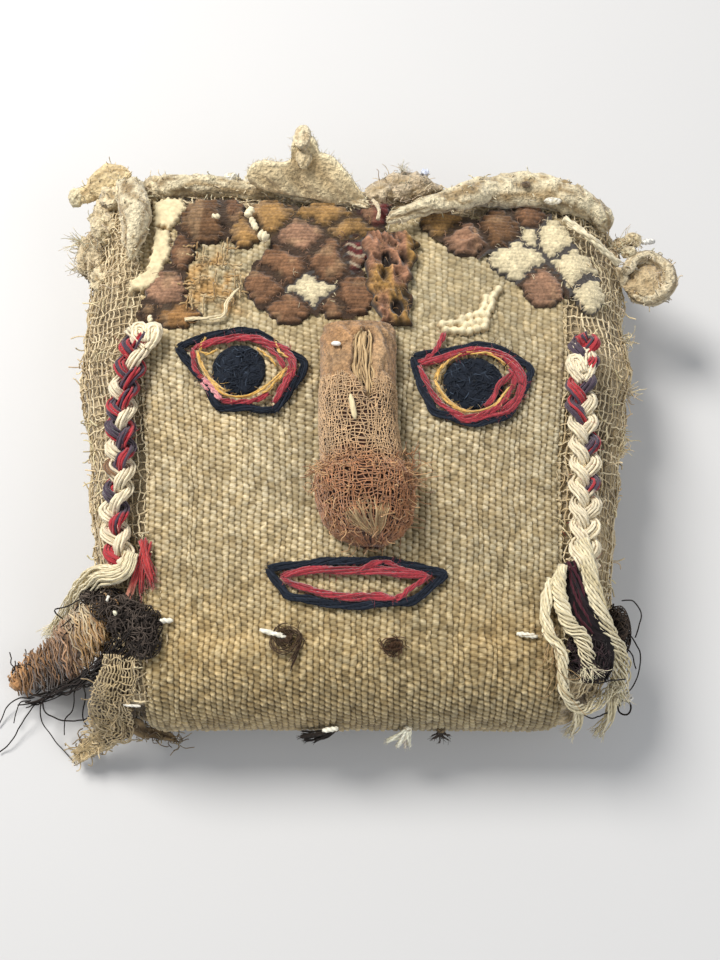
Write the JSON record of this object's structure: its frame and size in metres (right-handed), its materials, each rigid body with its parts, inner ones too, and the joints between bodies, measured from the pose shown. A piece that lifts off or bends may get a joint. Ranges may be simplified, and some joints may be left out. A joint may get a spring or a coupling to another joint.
{
  "type": "woven textile mask",
  "caption": "Stuffed square textile mask with a woven face cloth, padded gauze nose, couched yarn eyes and mouth, tapestry scraps on the forehead and a yarn plait down each side.",
  "frame": {"origin": "middle of the flat back that the mask lies on", "axes": "+Z out of the face, +Y towards the forehead, +X towards the right side as seen from the front"},
  "size_m": [0.2216, 0.1966, 0.069],
  "materials": {
    "gauze": "coarse open gauze, crinkled",
    "face_cloth": "thick ribbed plain weave in tan cotton",
    "nose_gauze": "fine brown gauze, frayed",
    "navy_yarn": "dark blue plied yarn, couched",
    "crimson_yarn": "crimson plied yarn",
    "gold_yarn": "gold plied yarn",
    "tapestry": "tapestry weave in brown, rust, ochre and cream areas",
    "tapestry_cream": "cream tapestry weave with worn edges",
    "ochre_scrap": "gathered ochre and brown cloth, worn through",
    "rolled_gauze": "rolled and frayed cream cloth",
    "cream_yarn": "cream plied cotton yarn",
    "purple_yarn": "dark purple plied yarn",
    "black_thread": "fine dark curly thread",
    "brown_fringe": "brown and ochre frayed yarns"
  },
  "bodies": {
    "root": {"bottom_dark_tuft": "black_thread", "bottom_knot": "black_thread", "bottom_stitch": "cream_yarn", "bottom_white_tuft": "cream_yarn", "cheek_stitch_left": "cream_yarn", "chin_dark_knot": "black_thread", "chin_hair_knot": "black_thread", "chin_stitch_left": "cream_yarn", "chin_stitch_right": "cream_yarn", "cream_scrap_lower": "tapestry_cream", "cream_scrap_upper": "tapestry_cream", "cream_stick": "rolled_gauze", "face_panel": "face_cloth", "forehead_textile_corner": "tapestry", "forehead_textile_left": "tapestry", "forehead_textile_right": "tapestry", "hanging_scrap": "ochre_scrap", "left_braid_cream": "cream_yarn", "left_braid_knot": "cream_yarn", "left_braid_purple": "purple_yarn", "left_braid_red": "crimson_yarn", "left_corner_tuft": "rolled_gauze", "left_edge_roll": "rolled_gauze", "left_eye_gold_yarn": "gold_yarn", "left_eye_outline": "navy_yarn", "left_eye_pupil": "navy_yarn", "left_eye_red_yarn": "crimson_yarn", "left_frayed_tuft": "rolled_gauze", "left_red_tuft": "crimson_yarn", "left_tassel_strip": "brown_fringe", "left_tassel_threads": "black_thread", "left_yarn_tail": "cream_yarn", "lower_left_flap": "gauze", "mouth_outline": "navy_yarn", "mouth_red_yarn": "crimson_yarn", "nose_roll": "nose_gauze", "peaked_fold": "rolled_gauze", "right_braid_cream": "cream_yarn", "right_braid_knot": "cream_yarn", "right_braid_purple": "purple_yarn", "right_braid_red": "crimson_yarn", "right_corner_loop": "rolled_gauze", "right_corner_tuft": "rolled_gauze", "right_eye_gold_yarn": "gold_yarn", "right_eye_outline": "navy_yarn", "right_eye_pupil": "navy_yarn", "right_eye_red_yarn": "crimson_yarn", "right_tassel_threads": "purple_yarn", "right_thread_knot": "black_thread", "right_yarn_inner": "cream_yarn", "right_yarn_middle": "cream_yarn", "right_yarn_outer": "cream_yarn", "stepped_strip": "tapestry_cream", "stuffed_body": "gauze", "top_roll_left": "rolled_gauze", "top_roll_right": "rolled_gauze", "top_tow": "rolled_gauze"}
  },
  "joints": []
}
